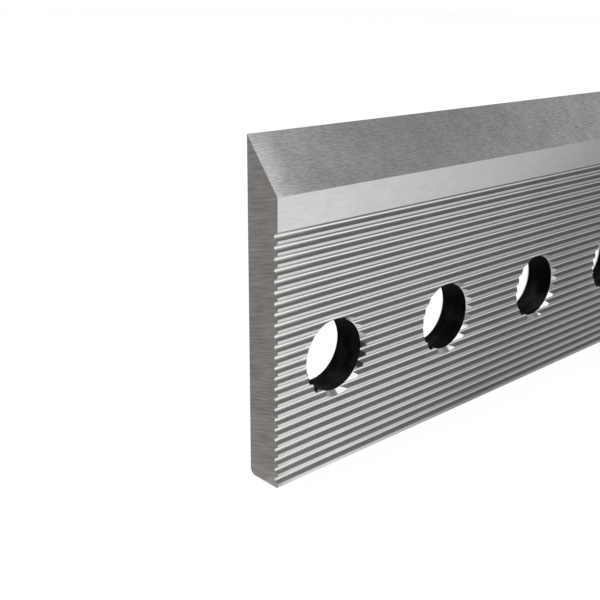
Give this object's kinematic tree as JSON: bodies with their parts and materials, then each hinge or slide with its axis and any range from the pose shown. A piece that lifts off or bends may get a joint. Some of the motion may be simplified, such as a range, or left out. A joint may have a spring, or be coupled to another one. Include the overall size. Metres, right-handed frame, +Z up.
{
  "type": "moulder knife",
  "caption": "Flat steel moulder knife with a ground bevel ending in a straight cutting edge, a corrugated clamping face and a row of countersunk screw holes.",
  "frame": {"origin": "middle of the long bottom edge", "axes": "+X along the bar, +Y through its thickness from the corrugated face to the flat back, +Z up towards the cutting edge"},
  "size_m": [0.23, 0.0062, 0.0508],
  "materials": {
    "ground_steel": "surface-ground bright tool steel, bare, with fine grinding lines"
  },
  "bodies": {
    "root": {"moulder_knife": "ground_steel"}
  },
  "joints": []
}
